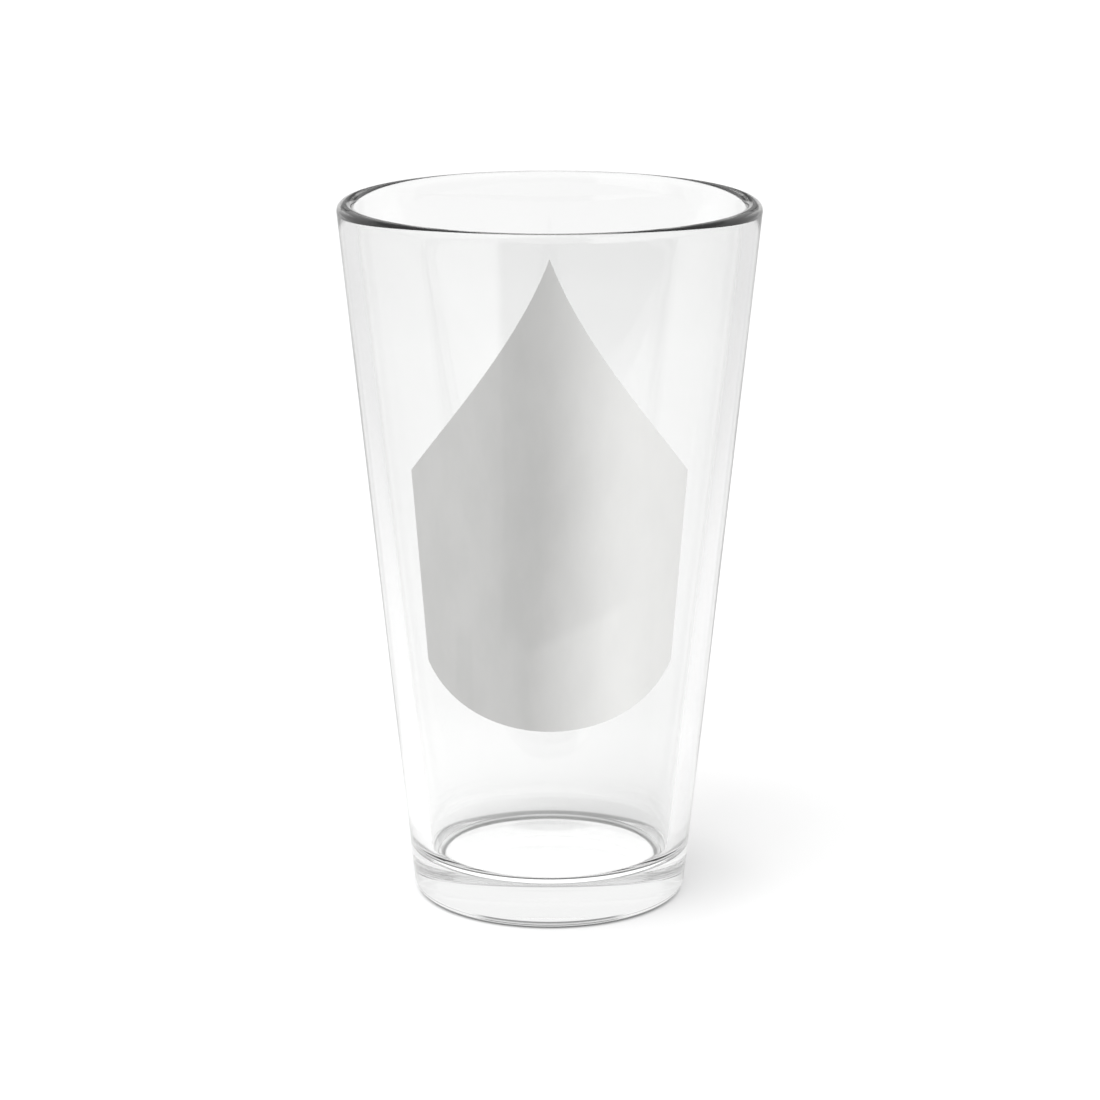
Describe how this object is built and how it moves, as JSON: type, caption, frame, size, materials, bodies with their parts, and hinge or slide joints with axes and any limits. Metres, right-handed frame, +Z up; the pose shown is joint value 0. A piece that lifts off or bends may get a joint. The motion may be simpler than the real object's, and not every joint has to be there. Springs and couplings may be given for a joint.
{
  "type": "pint glass",
  "caption": "Straight-sided tapering beer glass in clear glass, with a rounded rim, a thick base and a plain grey panel printed on the front.",
  "frame": {"origin": "centre of the foot, at the height of the surface the glass stands on", "axes": "+Z up along the axis of the glass, towards the rim; the printed panel faces -Y; +X to the right as seen from the printed side"},
  "size_m": [0.0884, 0.0884, 0.15],
  "materials": {
    "clear_glass": "clear, fire-polished",
    "grey_ink": "satin fired enamel ink"
  },
  "bodies": {
    "root": {"glass_body": "clear_glass", "printed_panel": "grey_ink"}
  },
  "joints": []
}
